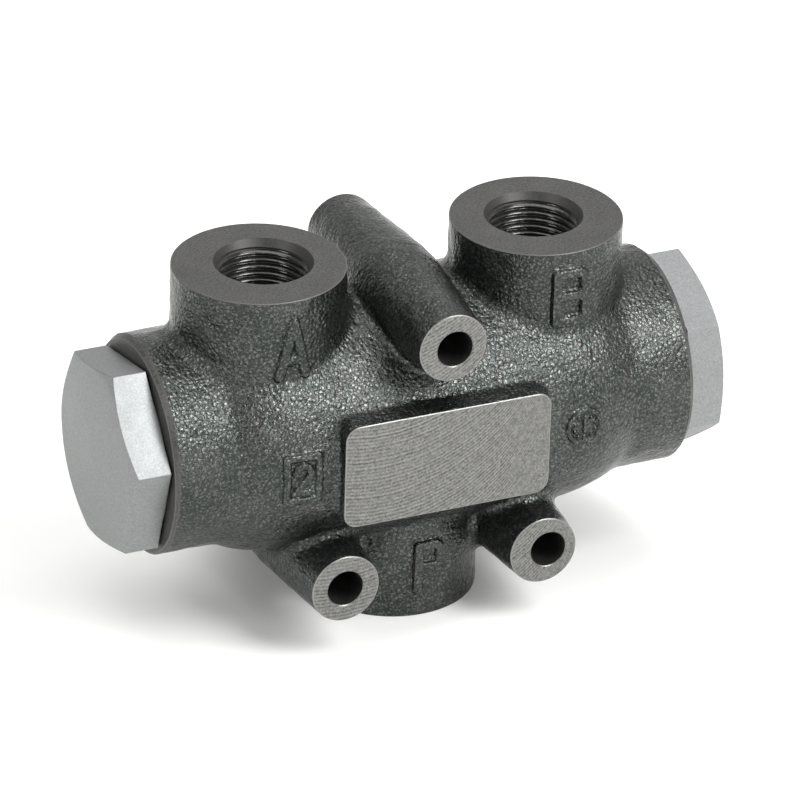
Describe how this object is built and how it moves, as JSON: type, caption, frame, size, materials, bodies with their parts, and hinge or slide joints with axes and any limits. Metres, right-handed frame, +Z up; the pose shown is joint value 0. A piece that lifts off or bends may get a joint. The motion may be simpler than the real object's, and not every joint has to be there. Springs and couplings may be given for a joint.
{
  "type": "flow divider valve",
  "caption": "Spool-type hydraulic flow divider in a cast body: inlet port below, twin outlet ports above, hexagon end plugs and through mounting holes.",
  "frame": {"origin": "centre of the inlet port's face, on which the valve stands", "axes": "+X along the spool from outlet A to outlet B, +Z up to the outlet faces, -Y towards the name pad"},
  "size_m": [0.1134, 0.0494, 0.0675],
  "materials": {
    "cast_body": "sand-cast, machined faces",
    "plug": "satin zinc plate",
    "seal": "smooth",
    "spring_steel": "drawn",
    "spool_steel": "ground",
    "orifice_steel": "turned"
  },
  "bodies": {
    "valve": {"valve_body": "cast_body", "end_plug_left": "plug", "end_plug_right": "plug", "plug_seal_left": "seal", "plug_seal_right": "seal", "adjusting_shim_left": "spring_steel", "adjusting_shim_right": "spring_steel", "spring_plate_left": "spring_steel", "spring_plate_right": "spring_steel", "end_spring_left": "spring_steel", "end_spring_right": "spring_steel"},
    "left_spool": {"half_spool_left": "spool_steel", "orifice_disc_left": "orifice_steel", "retaining_ring_left": "spring_steel", "centre_spring": "spring_steel"},
    "right_spool": {"half_spool_right": "spool_steel", "orifice_disc_right": "orifice_steel", "retaining_ring_right": "spring_steel"}
  },
  "joints": [
    {"name": "spool_slide", "type": "slide", "parent": "valve", "child": "left_spool", "axis": [1, 0, 0], "range_m": [-0.0019, 0.0019], "stiffness_N_per_m": 3000, "deforming": ["end_spring_left", "end_spring_right"]},
    {"name": "spool_hook", "type": "slide", "parent": "left_spool", "child": "right_spool", "axis": [1, 0, 0], "range_m": [-0.0015, 0], "stiffness_N_per_m": 2000, "springref_m": 0.003, "deforming": ["centre_spring"]}
  ]
}
